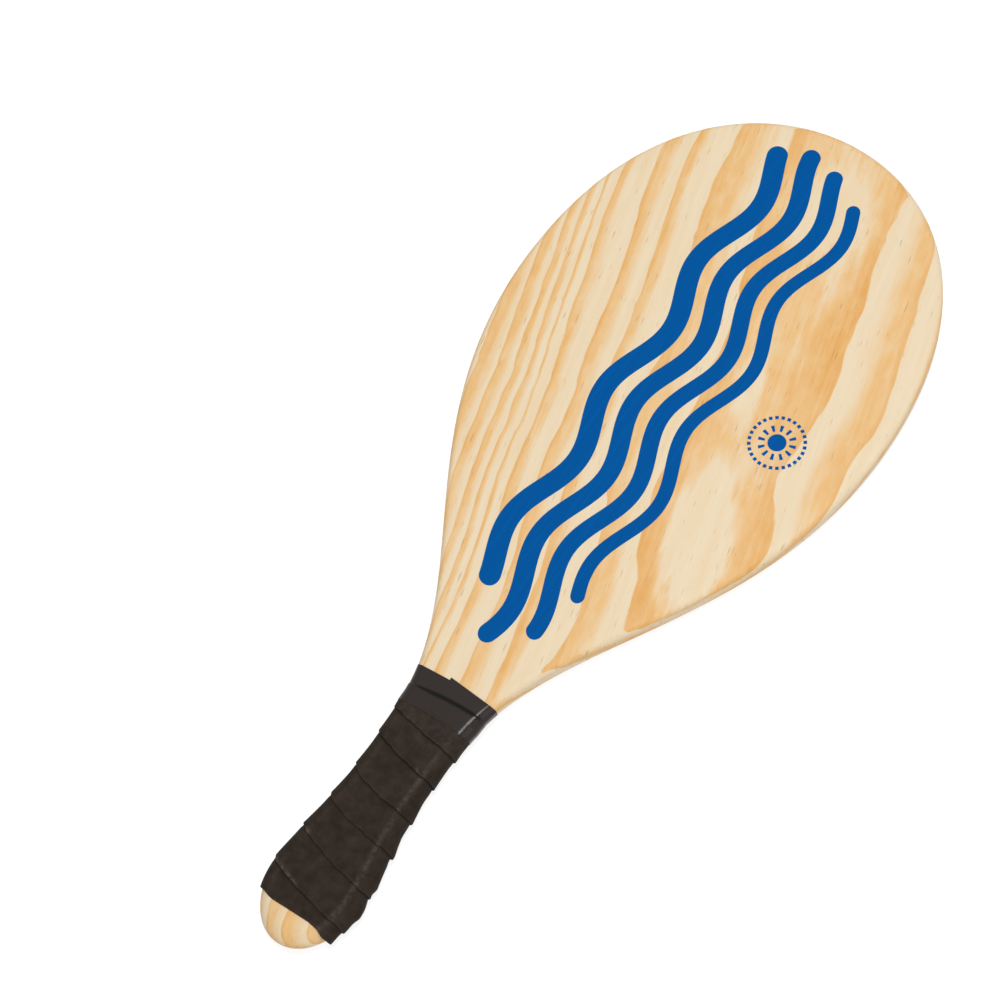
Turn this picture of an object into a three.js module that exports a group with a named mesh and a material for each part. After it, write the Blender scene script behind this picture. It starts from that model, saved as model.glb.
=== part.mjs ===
// A wooden beach racket: one solid pine board that is blade, neck and handle in one, a ribbon of grip
// tape wound up the handle in overlapping turns, and a vinyl tape that binds the grip's end at the neck.
// Millimetres. The racket lies on z = 0 on its back, +Z is its front face, and +Y runs from butt to head,
// with the origin under the middle of its length. Inside the group, y is measured from the butt's end.

import * as THREE from 'three';

// Board: widths are across the racket, and each height is where that width lies, measured from the butt.
const BOARD_LENGTH = 450;
const BOARD_THICKNESS = 10;
const BLADE_WIDTH = 195;
const BLADE_HEIGHT = 325;
const NECK_WIDTH = 44;
const NECK_HEIGHT = 135;
const WAIST_WIDTH = 31.6;
const WAIST_HEIGHT = 84;
const BUTT_WIDTH = 41.2;
const BUTT_HEIGHT = 26.5;

// Board edges: a quarter round on each face, which grows into a blunt dome at the butt.
const EDGE_RADIUS = 3;
const DOME_INSET = 9;
const DOME_REACH = 16;
const DOME_RIM = 0.8;

// Outline tangents, as shares of the width or height that each of them spans.
const HEAD_SIDE_SHARE = 0.7;
const HEAD_TIP_SHARE = 0.48;
const SHOULDER_SHARE = 0.47;
const NECK_REACH_SHARE = 0.27;
const NECK_SLOPE_SHARE = 0.3;
const NECK_FOOT_SHARE = 0.29;
const WAIST_TOP_SHARE = 0.47;
const WAIST_FOOT_SHARE = 0.4;
const BUTT_SIDE_SHARE = 0.3;

// Grip tape: the ribbon starts as a tapered end square to the handle and climbs by less than its width.
const GRIP_BOTTOM = 14;
const GRIP_TOP = 124;
const GRIP_TAPE_WIDTH = 21;
const GRIP_TAPE_THICKNESS = 0.8;
const GRIP_PITCH = 16.8;
const GRIP_LAPS = 7;
const GRIP_TAIL_WIDTH = 15;
const GRIP_DROP = 2;
const GRIP_EDGE_CLEARANCE = 0.5;

// Vinyl tape at the neck: half on the end of the grip, half on the bare wood.
const VINYL_TOP = 133.2;
const VINYL_WIDTH = 17.5;
const VINYL_THICKNESS = 0.35;
const VINYL_DRIFT = 0.9;
const VINYL_LAPS = 1.25;
const VINYL_DROP = 4;

// Running clearances: tape over wood or over another piece, and turn over turn.
const SEAT_CLEARANCE = 0.3;
const TURN_CLEARANCE = 0.55;

// Facets: steps along each curve of the outline, over the rounded edge, and round the handle.
const OUTLINE_STEPS = { butt: 14, grip: 9, neck: 7, shoulder: 22, head: 26 };
const EDGE_STEPS = 4;
const CORNER_STEPS = 5;
const FACE_STEPS = 6;
const SIDE_STEPS = 2;
const RISE_STEPS = 3;
const FLAT_COLUMNS = 3;
const GAP_SAMPLES = 8;

const halfThickness = BOARD_THICKNESS / 2;

// The right half of the outline, from the middle of the butt to the middle of the head.
function halfOutline() {
  const halfBlade = BLADE_WIDTH / 2;
  const halfNeck = NECK_WIDTH / 2;
  const halfWaist = WAIST_WIDTH / 2;
  const halfButt = BUTT_WIDTH / 2;
  const headSpan = BOARD_LENGTH - BLADE_HEIGHT;
  const shoulderSpan = BLADE_HEIGHT - NECK_HEIGHT;
  const neckSpan = NECK_HEIGHT - WAIST_HEIGHT;
  const gripSpan = WAIST_HEIGHT - BUTT_HEIGHT;
  const neckReach = NECK_REACH_SHARE * shoulderSpan;
  const neckFoot = NECK_FOOT_SHARE * neckSpan;

  const path = new THREE.Path();
  path.moveTo(0, 0);
  path.absellipse(0, BUTT_HEIGHT, halfButt, BUTT_HEIGHT, -Math.PI / 2, 0, false, 0);
  path.bezierCurveTo(
    halfButt, BUTT_HEIGHT + BUTT_SIDE_SHARE * gripSpan,
    halfWaist, WAIST_HEIGHT - WAIST_FOOT_SHARE * gripSpan,
    halfWaist, WAIST_HEIGHT,
  );
  path.bezierCurveTo(
    halfWaist, WAIST_HEIGHT + WAIST_TOP_SHARE * neckSpan,
    halfNeck - NECK_SLOPE_SHARE * neckFoot, NECK_HEIGHT - neckFoot,
    halfNeck, NECK_HEIGHT,
  );
  path.bezierCurveTo(
    halfNeck + NECK_SLOPE_SHARE * neckReach, NECK_HEIGHT + neckReach,
    halfBlade, BLADE_HEIGHT - SHOULDER_SHARE * shoulderSpan,
    halfBlade, BLADE_HEIGHT,
  );
  path.bezierCurveTo(
    halfBlade, BLADE_HEIGHT + HEAD_SIDE_SHARE * headSpan,
    HEAD_TIP_SHARE * halfBlade, BOARD_LENGTH,
    0, BOARD_LENGTH,
  );

  const steps = Object.values(OUTLINE_STEPS);
  const points = path.curves.flatMap((curve, index) => curve.getPoints(steps[index]).slice(1));
  return [new THREE.Vector2(0, 0), ...points];
}

const outline = halfOutline();

// Half the board's width at a height, read between the outline's points.
function halfWidthAt(y) {
  const next = outline.findIndex((point) => point.y > y);
  const below = outline[next - 1];
  const above = outline[next];
  return THREE.MathUtils.mapLinear(y, below.y, above.y, below.x, above.x);
}

// The whole outline as one loop, up the right side and down the left, with the way out at each point.
function outlineLoop() {
  const left = outline.slice(1, -1).reverse().map((point) => new THREE.Vector2(-point.x, point.y));
  const loop = [...outline, ...left];
  return loop.map((point, index) => {
    const before = loop[(index + loop.length - 1) % loop.length];
    const after = loop[(index + 1) % loop.length];
    const along = after.clone().sub(before).normalize();
    return { point, outward: new THREE.Vector2(along.y, -along.x) };
  });
}

// One ring of the board's surface: the outline drawn in by the rounding at a given angle up the edge.
function edgeRing(loop, angle, side) {
  return loop.map(({ point, outward }) => {
    const blade = THREE.MathUtils.smoothstep(point.y, 0, DOME_REACH);
    const inset = THREE.MathUtils.lerp(DOME_INSET, EDGE_RADIUS, blade);
    const drop = THREE.MathUtils.lerp(halfThickness - DOME_RIM / 2, EDGE_RADIUS, blade);
    const drawnIn = inset * (1 - Math.cos(angle));
    const place = point.clone().addScaledVector(outward, -drawnIn);
    const height = halfThickness - drop + drop * Math.sin(angle);
    return new THREE.Vector3(place.x, place.y, side * height);
  });
}

function solid(positions, triangles) {
  const geometry = new THREE.BufferGeometry();
  geometry.setFromPoints(positions);
  geometry.setIndex(triangles);
  geometry.computeVertexNormals();
  return geometry;
}

// The board: rings from the front face round the edge to the back face, and a strip across each face.
function boardGeometry() {
  const loop = outlineLoop();
  const quarter = Array.from({ length: EDGE_STEPS + 1 }, (_, k) => (k / EDGE_STEPS) * (Math.PI / 2));
  const rings = [
    ...quarter.toReversed().map((angle) => edgeRing(loop, angle, 1)),
    ...quarter.map((angle) => edgeRing(loop, angle, -1)),
  ];
  const count = loop.length;
  const triangles = [];
  for (let ring = 0; ring < rings.length - 1; ring += 1) {
    for (let k = 0; k < count; k += 1) {
      const here = ring * count + k;
      const next = ring * count + ((k + 1) % count);
      triangles.push(here, here + count, next, next, here + count, next + count);
    }
  }

  const head = outline.length - 1;
  const back = (rings.length - 1) * count;
  for (let right = 0; right < head; right += 1) {
    const left = (count - right) % count;
    const leftNext = count - right - 1;
    const faces = [[right, right + 1, leftNext], [right, leftNext, left]];
    for (const [a, b, c] of faces.filter((face) => new Set(face).size === face.length)) {
      triangles.push(a, b, c);
      triangles.push(back + a, back + c, back + b);
    }
  }
  return solid(rings.flat(), triangles);
}

// One lap round the handle's rounded section: the share of the way to each corner's centre, and the
// direction out of the surface. It runs from the right side over the front to the left and the back.
function lapStations() {
  const corners = [[1, 1], [-1, 1], [-1, -1], [1, -1]];
  return corners.flatMap(([x, z], quarter) => {
    const [nextX, nextZ] = corners[(quarter + 1) % corners.length];
    const flatSteps = quarter % 2 === 0 ? FACE_STEPS : SIDE_STEPS;
    const stations = [];
    for (let k = 0; k < CORNER_STEPS; k += 1) {
      stations.push({ x, z, angle: ((quarter + k / CORNER_STEPS) * Math.PI) / 2 });
    }
    for (let k = 0; k < flatSteps; k += 1) {
      const share = k / flatSteps;
      stations.push({
        x: THREE.MathUtils.lerp(x, nextX, share),
        z: THREE.MathUtils.lerp(z, nextZ, share),
        angle: ((quarter + 1) * Math.PI) / 2,
      });
    }
    return stations;
  });
}

const lap = lapStations();
const frontMiddle = CORNER_STEPS + FACE_STEPS / 2;
const leftMiddle = 2 * CORNER_STEPS + FACE_STEPS + SIDE_STEPS / 2;

function stationAt(step) {
  return lap[((step % lap.length) + lap.length) % lap.length];
}

// A point over the handle at a height, off the wood by a given distance.
function handlePoint(step, y, offset) {
  const { x, z, angle } = stationAt(step);
  const reach = EDGE_RADIUS + offset;
  return new THREE.Vector3(
    x * (halfWidthAt(y) - EDGE_RADIUS) + reach * Math.cos(angle),
    y,
    z * (halfThickness - EDGE_RADIUS) + reach * Math.sin(angle),
  );
}

// How many laps a step lies from the lap's start, by length round the handle's waist.
const lapLengths = lap.map((_, step) => {
  const here = handlePoint(step, WAIST_HEIGHT, SEAT_CLEARANCE);
  return here.distanceTo(handlePoint(step + 1, WAIST_HEIGHT, SEAT_CLEARANCE));
});
const lapLength = lapLengths.reduce((sum, length) => sum + length, 0);

function lapsAt(step) {
  const whole = Math.floor(step / lap.length);
  const rest = lapLengths.slice(0, step - whole * lap.length);
  return whole + rest.reduce((sum, length) => sum + length, 0) / lapLength;
}

// A ribbon from its rows: each row holds the ribbon's columns across its width, as a height on the
// handle and the distance of the ribbon's under face from the wood.
function ribbonRow(step, thickness, columns) {
  return {
    step,
    columns,
    under: columns.map(({ y, offset }) => handlePoint(step, y, offset)),
    over: columns.map(({ y, offset }) => handlePoint(step, y, offset + thickness)),
  };
}

function ribbonGeometry(rows) {
  const width = rows[0].columns.length;
  const count = 2 * width;
  const positions = rows.flatMap(({ under, over }) => [...under, ...over.toReversed()]);
  const triangles = [];
  for (let row = 0; row < rows.length - 1; row += 1) {
    for (let k = 0; k < count; k += 1) {
      const here = row * count + k;
      const next = row * count + ((k + 1) % count);
      triangles.push(here, here + count, next, next, here + count, next + count);
    }
  }
  const last = (rows.length - 1) * count;
  for (let k = 0; k < width - 1; k += 1) {
    const across = count - 1 - k;
    triangles.push(k, k + 1, across, k + 1, across - 1, across);
    triangles.push(last + k, last + across, last + k + 1, last + k + 1, last + across, last + across - 1);
  }
  return solid(positions, triangles);
}

function alongLine(points) {
  return points.slice(1).flatMap((point, index) => (
    Array.from({ length: GAP_SAMPLES + 1 }, (_, k) => points[index].clone().lerp(point, k / GAP_SAMPLES))
  ));
}

// The least distance between each turn's upper face and the under face of the turn that lies over it.
function leastGap(rows) {
  let least = Infinity;
  for (let row = 0; row + lap.length < rows.length; row += 1) {
    const lower = alongLine(rows[row].over);
    const upper = alongLine(rows[row + lap.length].under);
    for (const a of lower) {
      for (const b of upper) {
        least = Math.min(least, a.distanceTo(b));
      }
    }
  }
  return least;
}

// Grip tape: after the first lap, each turn's lower edge lies on the turn below and the rest drops to
// the wood. Its first lap is cut square at the bottom, and its last ones are cut square at the top.
function gripRows() {
  const turnRise = GRIP_TAPE_THICKNESS + TURN_CLEARANCE;
  const steps = GRIP_LAPS * lap.length;
  const rows = [];
  for (let step = 0; step <= steps; step += 1) {
    const climb = GRIP_PITCH * (lapsAt(leftMiddle + step) - lapsAt(leftMiddle) - 1);
    const lower = GRIP_BOTTOM + THREE.MathUtils.clamp(climb, 0, GRIP_TOP - GRIP_TAIL_WIDTH - GRIP_BOTTOM);
    const upper = Math.min(GRIP_BOTTOM + climb + GRIP_TAPE_WIDTH, GRIP_TOP);
    const overlap = GRIP_TAPE_WIDTH - GRIP_PITCH + GRIP_EDGE_CLEARANCE;
    const taper = Math.min(1, (GRIP_TAPE_WIDTH + climb) / GRIP_TAPE_WIDTH);
    const raisedEnd = GRIP_BOTTOM + Math.max(climb, 0) + taper * overlap;
    const dropEnd = raisedEnd + taper * GRIP_DROP;
    const raised = THREE.MathUtils.smoothstep(step, lap.length - 1 - RISE_STEPS, lap.length - 1);
    const offset = SEAT_CLEARANCE + raised * turnRise;
    const flat = Array.from({ length: FLAT_COLUMNS + 1 }, (_, k) => ({
      y: THREE.MathUtils.lerp(dropEnd, upper, k / FLAT_COLUMNS),
      offset: SEAT_CLEARANCE,
    }));
    rows.push(ribbonRow(leftMiddle + step, GRIP_TAPE_THICKNESS, [
      { y: lower, offset },
      { y: raisedEnd, offset },
      ...flat,
    ]));
  }
  return rows;
}

// How far the finished grip stands off the wood above a height, at one station and its neighbours.
function gripReachAt(step, y, rows) {
  const near = [-1, 0, 1].map((shift) => stationAt(step + shift));
  const lastLap = rows.slice(-lap.length);
  const beside = lastLap.filter((row) => near.includes(stationAt(row.step)));
  const offsets = beside.flatMap(({ columns }) => {
    const first = columns.findIndex((column) => column.y > y);
    return columns.slice(Math.max(first - 1, 0)).map((column) => column.offset);
  });
  return Math.max(...offsets) + GRIP_TAPE_THICKNESS;
}

// Vinyl tape: a flat spiral that ends on the front face. Its lower half lies over the grip's cut end.
function vinylRows(grip) {
  const turnRise = VINYL_THICKNESS + TURN_CLEARANCE;
  const last = frontMiddle + 1;
  const first = last - Math.round(VINYL_LAPS * lap.length);
  const lowest = VINYL_TOP - VINYL_WIDTH - VINYL_DRIFT * (lapsAt(last) - lapsAt(first));
  const gripEdge = GRIP_TOP + GRIP_EDGE_CLEARANCE;
  const rows = [];
  for (let step = first; step <= last; step += 1) {
    const laps = lapsAt(step) - lapsAt(first);
    const upper = VINYL_TOP - VINYL_DRIFT * (lapsAt(last) - lapsAt(step));
    const lower = upper - VINYL_WIDTH;
    const rise = SEAT_CLEARANCE + laps * turnRise;
    const reach = gripReachAt(step, lowest, grip);
    rows.push(ribbonRow(step, VINYL_THICKNESS, [
      { y: lower, offset: reach + rise },
      { y: gripEdge, offset: reach + rise },
      { y: gripEdge + VINYL_DROP, offset: rise },
      { y: upper, offset: rise },
    ]));
  }
  return rows;
}

function part(name, geometry, material) {
  const mesh = new THREE.Mesh(geometry, new THREE.MeshStandardMaterial(material));
  mesh.name = name;
  return mesh;
}

const grip = gripRows();
const vinyl = vinylRows(grip);
console.log(`grip_tape: least gap to itself ${leastGap(grip).toFixed(2)} mm`);
console.log(`finishing_tape: least gap to itself ${leastGap(vinyl).toFixed(2)} mm`);

const racket = new THREE.Group();
racket.name = 'frescobol_racket';
racket.add(part('blade_board', boardGeometry(), { color: 0xeddcb8, roughness: 0.45, metalness: 0 }));
racket.add(part('grip_tape', ribbonGeometry(grip), { color: 0x2e2622, roughness: 0.85, metalness: 0 }));
racket.add(part('finishing_tape', ribbonGeometry(vinyl), { color: 0x35312e, roughness: 0.25, metalness: 0 }));

// The racket lies on its lowest point, with the middle of its length over the origin.
const lowest = new THREE.Box3().setFromObject(racket).min.z;
racket.position.set(0, -BOARD_LENGTH / 2, -lowest);

export default racket;
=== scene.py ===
"""A wooden beach racket on a pale studio floor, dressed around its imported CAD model.

Sizes are written in millimetres and turned into metres when a mesh is made. In them y runs from the
butt's end, and z from the middle of the board's thickness.
"""

import logging
from dataclasses import dataclass, field
from enum import Enum
from typing import Any

import bmesh
import bpy
import numpy as np
from mathutils import Matrix, Vector


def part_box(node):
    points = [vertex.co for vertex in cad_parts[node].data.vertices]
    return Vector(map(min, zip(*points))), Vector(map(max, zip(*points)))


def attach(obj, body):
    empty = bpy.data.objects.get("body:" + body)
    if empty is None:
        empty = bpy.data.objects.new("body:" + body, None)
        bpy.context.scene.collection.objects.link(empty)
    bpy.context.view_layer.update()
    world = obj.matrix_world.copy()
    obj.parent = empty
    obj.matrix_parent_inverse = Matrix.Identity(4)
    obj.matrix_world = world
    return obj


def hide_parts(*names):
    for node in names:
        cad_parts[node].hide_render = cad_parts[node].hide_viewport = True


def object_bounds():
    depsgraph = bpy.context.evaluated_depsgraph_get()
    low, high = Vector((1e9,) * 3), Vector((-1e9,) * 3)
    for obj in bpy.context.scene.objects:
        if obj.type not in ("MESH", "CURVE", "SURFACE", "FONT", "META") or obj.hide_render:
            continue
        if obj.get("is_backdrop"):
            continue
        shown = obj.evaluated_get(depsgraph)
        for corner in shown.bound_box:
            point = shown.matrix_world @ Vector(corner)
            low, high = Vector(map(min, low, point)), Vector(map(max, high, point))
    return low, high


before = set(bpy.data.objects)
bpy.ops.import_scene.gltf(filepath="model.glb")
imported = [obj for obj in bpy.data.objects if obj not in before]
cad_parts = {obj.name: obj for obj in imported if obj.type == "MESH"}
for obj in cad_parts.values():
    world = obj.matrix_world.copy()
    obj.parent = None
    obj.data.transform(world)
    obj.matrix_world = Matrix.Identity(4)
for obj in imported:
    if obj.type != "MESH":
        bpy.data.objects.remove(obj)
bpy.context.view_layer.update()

Tree = bpy.types.NodeTree
Socket = bpy.types.NodeSocket
Reals = tuple[float, ...]

LOG = logging.getLogger("racket")
MM = 0.001
BODY = "root"
BOARD_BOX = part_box("blade_board")

BOARD_LENGTH = 450.0
BOARD_THICKNESS = 10.0
BUTT_Y = BOARD_BOX[0][1] / MM
BOARD_MIDDLE = (BOARD_BOX[0][2] + BOARD_BOX[1][2]) / 2 / MM

# The edge is rounded more along the handle than round the blade, and the handle is a little fuller
# than the plain outline between the butt and the neck.
EDGE_RADIUS = 3.0
HAND_RADIUS = 4.5
HAND_TO_BLADE = (118, 150)
FULLNESS = 0.45
FULLER_FROM = (14, 30)
FULLER_TO = (134, 112)

# In metres: points closer than the first are one point, and edges shorter than the second go.
SAME_POINT = 1e-7
NO_LENGTH = 1e-8


class Slot(Enum):
    """The record's material slots."""

    PINE = "pine_board"
    GRIP = "grip_tape"
    VINYL = "vinyl_tape"


def linear(hex_colour: str) -> tuple[float, float, float, float]:
    """Turns an sRGB hex colour into the linear values that a shader reads.

    A channel c becomes c / 12.92 up to 0.04045, and ((c + 0.055) / 1.055)^2.4 above that.

    Args:
        hex_colour: Six hex digits after a hash.
    Returns:
        Red, green, blue and a full alpha.
    """
    srgb = np.array([int(hex_colour[k : k + 2], 16) for k in (1, 3, 5)]) / 255
    values = np.where(srgb <= 0.04045, srgb / 12.92, ((srgb + 0.055) / 1.055) ** 2.4)
    return (*(float(v) for v in values), 1.0)


def add_node(tree: Tree, kind: str, settings: dict[str, Any] | None = None,
             inputs: dict[Any, Any] | None = None) -> bpy.types.Node:
    """Adds one node to a tree.

    Args:
        tree: The tree that gets the node.
        kind: The node's type name, less the ShaderNode that it starts with.
        settings: Attributes of the node and their values.
        inputs: Input names or numbers, each with a socket to link or a value to set.
    Returns:
        The node.
    """
    node = tree.nodes.new("ShaderNode" + kind)
    for name, value in (settings or {}).items():
        setattr(node, name, value)
    for name, value in (inputs or {}).items():
        if isinstance(value, Socket):
            tree.links.new(value, node.inputs[name])
        else:
            node.inputs[name].default_value = value
    return node


def new_material(name: str) -> tuple[bpy.types.Material, Tree]:
    """Makes a material without nodes.

    Args:
        name: The material's name.
    Returns:
        The material and its empty tree.
    """
    material = bpy.data.materials.new(name)
    material.use_nodes = True
    material.node_tree.nodes.clear()
    return material, material.node_tree


def layered(tree: Tree, ground: str, layers: list[tuple[Socket, str]]) -> Socket:
    """Lays colours over one another: each moves what lies below towards itself by its amount.

    Args:
        tree: The material's tree.
        ground: The lowest colour, as sRGB hex.
        layers: The amount from 0 to 1 and the colour of each layer, from the lowest up.
    Returns:
        The colour.
    """
    below = linear(ground)
    for amount, colour in layers:
        below = add_node(tree, "Mix", {"data_type": "RGBA"},
                         {"Factor": amount, 6: below, 7: linear(colour)}).outputs[2]
    return below


def smoothstep(low: Any, high: Any, value: Any) -> np.ndarray:
    """0 below low, 1 above high, and 3t^2 - 2t^3 between, where t is the share of the way."""
    t = np.clip((value - low) / (high - low), 0, 1)
    return t * t * (3 - 2 * t)


def edge_radius(y: Any) -> np.ndarray:
    """The rounding's radius at a height: smoothly from the handle's to the blade's."""
    return HAND_RADIUS + (EDGE_RADIUS - HAND_RADIUS) * smoothstep(*HAND_TO_BLADE, y)


def fullness(y: Any) -> np.ndarray:
    """How far the handle stands out past the plain outline: nothing at the butt and the neck."""
    return FULLNESS * smoothstep(*FULLER_FROM, y) * smoothstep(*FULLER_TO, y)


def eased(stations: Reals, heights: Reals, value: np.ndarray, reach: float) -> np.ndarray:
    """A line through given points with its corners eased.

    Args:
        stations: Where the points lie, rising.
        heights: The line's height at each.
        value: Where it is read.
        reach: How far each reading looks to both sides.
    Returns:
        The mean of nine readings of the straight line, spread evenly over the reach to both sides.
    """
    readings = 9
    near = np.linspace(-reach, reach, readings).reshape((readings,) + (1,) * np.ndim(value))
    return np.interp(value + near, stations, heights).mean(axis=0)


def bezier(a: tuple, b: tuple, c: tuple, d: tuple, steps: int) -> np.ndarray:
    """Points of a cubic Bezier curve from a to d.

    Args:
        a: Its start.
        b: The handle that it leaves a by.
        c: The handle that it comes to d by.
        d: Its end.
        steps: How many steps it is cut into.
    Returns:
        The points after a, one a row: each is the weighted mean of the four with the weights
        (1-t)^3, 3(1-t)^2 t, 3(1-t) t^2 and t^3.
    """
    t = np.linspace(0, 1, steps + 1)[1:, None]
    weights = np.hstack([(1 - t) ** 3, 3 * (1 - t) ** 2 * t, 3 * (1 - t) * t**2, t**3])
    return weights @ np.array([a, b, c, d], dtype=float)


def width_shares(edge: Reals, first: float, many: int) -> np.ndarray:
    """Where a ribbon's columns lie: evenly spread in its middle, and closer at both edges.

    Args:
        edge: The shares of the width next to an edge, from 0 up.
        first: The share where the even columns start.
        many: How many even columns there are.
    Returns:
        The shares from 0 to 1, the same from both edges.
    """
    near = np.array(edge)
    return np.concatenate([near, np.linspace(first, 1 - first, many), 1 - near[::-1]])


def in_row_frame(points: np.ndarray) -> np.ndarray:
    """Millimetres from the butt and the board's middle, turned into metres in the row frame."""
    return (points + [0, BUTT_Y, BOARD_MIDDLE]) * MM


def add_object(name: str, data: bpy.types.ID) -> bpy.types.Object:
    """Puts a mesh, a lamp or a camera into the scene.

    Args:
        name: The object's name.
        data: What it shows.
    Returns:
        The object.
    """
    thing = bpy.data.objects.new(name, data)
    bpy.context.collection.objects.link(thing)
    return thing


def make_piece(name: str, patches: list[np.ndarray], material: bpy.types.Material,
               attributes: dict[str, list[np.ndarray]] | None = None,
               crease: float = 60.0) -> bpy.types.Object:
    """Makes one closed piece from grids of points, welded where they meet.

    Args:
        name: The piece's name.
        patches: Grids of points in millimetres, rows by columns by three, facing out where the
            cross product of the way down the rows and the way along the columns does.
        material: What the piece is dressed in.
        attributes: Values for each point of each patch, by name.
        crease: The least angle in degrees between two faces that shades as an edge.
    Returns:
        The piece, riding on the root body.
    """
    vertices, faces, start = [], [], 0
    for patch in patches:
        rows, columns = patch.shape[:2]
        point = start + np.arange(rows * columns).reshape(rows, columns)
        quads = np.stack([point[:-1, :-1], point[1:, :-1], point[1:, 1:], point[:-1, 1:]], -1)
        faces.append(quads.reshape(-1, 4))
        vertices.append(patch.reshape(-1, 3))
        start += rows * columns
    mesh = bpy.data.meshes.new(name)
    mesh.from_pydata(in_row_frame(np.vstack(vertices)), [], np.vstack(faces))
    for label, values in (attributes or {}).items():
        layer = mesh.attributes.new(label, "FLOAT", "POINT")
        numbers = np.concatenate([v.ravel() for v in values]).astype(np.float32)
        layer.data.foreach_set("value", numbers)
    weld(mesh)
    mesh.materials.append(material)
    mesh.polygons.foreach_set("use_smooth", np.ones(len(mesh.polygons), dtype=bool))
    mesh.set_sharp_from_angle(angle=np.radians(crease))
    piece = add_object(name, mesh)
    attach(piece, BODY)
    LOG.info("%s: %d faces", name, len(mesh.polygons))
    return piece


def weld(mesh: bpy.types.Mesh) -> None:
    """Merges the points of a mesh that coincide, which closes its seams and poles.

    Args:
        mesh: The mesh, which is changed.
    """
    shape = bmesh.new()
    shape.from_mesh(mesh)
    bmesh.ops.remove_doubles(shape, verts=shape.verts, dist=SAME_POINT)
    bmesh.ops.dissolve_degenerate(shape, edges=shape.edges, dist=NO_LENGTH)
    shape.to_mesh(mesh)
    shape.free()


@dataclass(frozen=True)
class Swelling:
    """A soft oval in the wood: its middle and half sizes across the grain and along it, its
    strength, its turn in degrees, and half its size through the board."""

    across: float
    along: float
    half_across: float
    half_along: float
    strength: float
    turn: float = 0.0
    half_through: float = 40.0


@dataclass(frozen=True)
class Pull:
    """A shift of the rings that grows from one place across the grain to another, and whose
    strength changes along the grain from station to station."""

    starts: float
    ends: float
    stations: Reals
    strengths: Reals


# The pulls keep the left half's stripes straight and even. The second takes hold farther left.
LEFT_PULLS = (
    Pull(-4, -18, (-300, -90, -70, -50, -35, -22, -10, 0, 12, 30, 60, 90, 120, 150),
         (0.8, 0.8, 0.9, 1.4, 1.95, 1.95, 0.7, -0.85, -1.9, -1.6, -1.45, -1.6, -1.9, -2.0)),
    Pull(-45, -57, (-300, -90, -70, -45, -25, -8, 8, 22, 45, 90, 110, 150),
         (0, 0, -0.3, 0.45, 0, -0.1, -0.6, -1.6, -2.4, -2.0, -1.3, -0.6)),
)
# The first swelling moves the bands low on the blade. The second spaces those at the butt.
RING_SWELLINGS = (
    Swelling(-4, -97, 19, 60, 2.2),
    Swelling(-70, -300, 120, 110, 14),
)
# A strength below nothing pales the latewood, and one above it deepens it. The first is the pale
# island in the broad tongue, and the next four break up the tongues' honey colour.
DEPTHS_OF_COLOUR = (
    Swelling(36.5, -64, 17.5, 45, -2.0, 1),
    Swelling(35.6, 106, 24, 34, -1.0),
    Swelling(55, 88, 10, 50, -0.9),
    Swelling(33.5, 10, 8, 34, -0.9),
    Swelling(50, -24, 18, 16, -0.5),
    Swelling(62, 50, 13, 60, 0.45),
    Swelling(19, 64, 12, 36, 0.35),
    Swelling(58.5, -64, 14, 32, 0.35),
    Swelling(17.5, -78, 9, 40, 0.3),
    Swelling(25.5, -108, 12, 22, 0.3),
    Swelling(83, -8, 11, 60, 0.2),
    Swelling(51.6, 13, 3, 30, 0.5),
)


@dataclass(frozen=True)
class Finish:
    """A real material: its name, how rough it is and how strongly it shines."""

    name: str = ""
    roughness: float = 0.5
    shine: float = 0.5

    def look(self, tree: Tree, place: Socket) -> dict[str, Any]:
        """The rest of the shader's inputs, which each kind of finish works out for itself."""
        raise NotImplementedError

    def material(self) -> bpy.types.Material:
        """Makes the material, which reads the piece's own Object coordinates.

        Returns:
            The material.
        """
        material, tree = new_material(self.name)
        place = add_node(tree, "TexCoord").outputs["Object"]
        shader = add_node(tree, "BsdfPrincipled", {}, {
            "Roughness": self.roughness, "Specular IOR Level": self.shine, "IOR": 1.5,
            **self.look(tree, place)})
        add_node(tree, "OutputMaterial", {}, {"Surface": shader.outputs[0]})
        return material


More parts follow.
